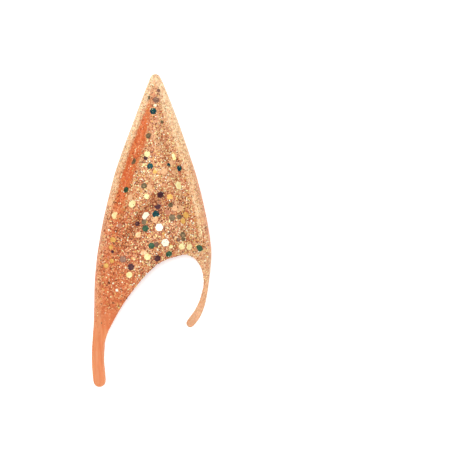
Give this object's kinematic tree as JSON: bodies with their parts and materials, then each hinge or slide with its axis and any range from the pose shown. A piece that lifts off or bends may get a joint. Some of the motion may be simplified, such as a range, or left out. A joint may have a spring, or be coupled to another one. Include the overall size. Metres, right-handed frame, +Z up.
{
  "type": "elf ear tip",
  "caption": "Soft moulded pointed ear tip with a hollow pocket that slips over the top of an ear, a long rear tail, a short front hook and foil flakes.",
  "frame": {"origin": "middle of the bounding box's base, on the surface that the back lies on", "axes": "+Y from the mouth to the pointed tip, +Z up out of the front face, +X from the rear tail to the front hook"},
  "size_m": [0.048, 0.125, 0.0146],
  "materials": {
    "latex": "satin, translucent peach latex with embedded glitter",
    "foil_cream": "glossy foil, pale cream yellow",
    "foil_pearl": "glossy foil, near white",
    "foil_gold": "glossy foil, gold",
    "foil_blush": "glossy foil, peach pink",
    "foil_mauve": "glossy foil, greyish mauve",
    "foil_slate": "glossy foil, olive grey",
    "foil_plum": "glossy foil, dark violet",
    "foil_teal": "glossy foil, dark teal",
    "foil_green": "glossy foil, dark green"
  },
  "bodies": {
    "root": {"ear_shell": "latex", "flake_01": "foil_mauve", "flake_02": "foil_teal", "flake_03": "foil_slate", "flake_04": "foil_cream", "flake_05": "foil_slate", "flake_06": "foil_teal", "flake_07": "foil_cream", "flake_08": "foil_teal", "flake_09": "foil_blush", "flake_10": "foil_slate", "flake_11": "foil_cream", "flake_12": "foil_green", "flake_13": "foil_plum", "flake_14": "foil_gold", "flake_15": "foil_cream", "flake_16": "foil_cream", "flake_17": "foil_blush", "flake_18": "foil_plum", "flake_19": "foil_slate", "flake_20": "foil_cream", "flake_21": "foil_pearl", "flake_22": "foil_teal", "flake_23": "foil_slate", "flake_24": "foil_gold", "flake_25": "foil_plum", "flake_26": "foil_green", "flake_27": "foil_pearl", "flake_28": "foil_slate", "flake_29": "foil_gold", "flake_30": "foil_green", "flake_31": "foil_pearl", "flake_32": "foil_cream", "flake_33": "foil_cream", "flake_34": "foil_green", "flake_35": "foil_cream", "flake_36": "foil_plum", "flake_37": "foil_mauve", "flake_38": "foil_plum", "flake_39": "foil_cream", "flake_40": "foil_green"}
  },
  "joints": []
}
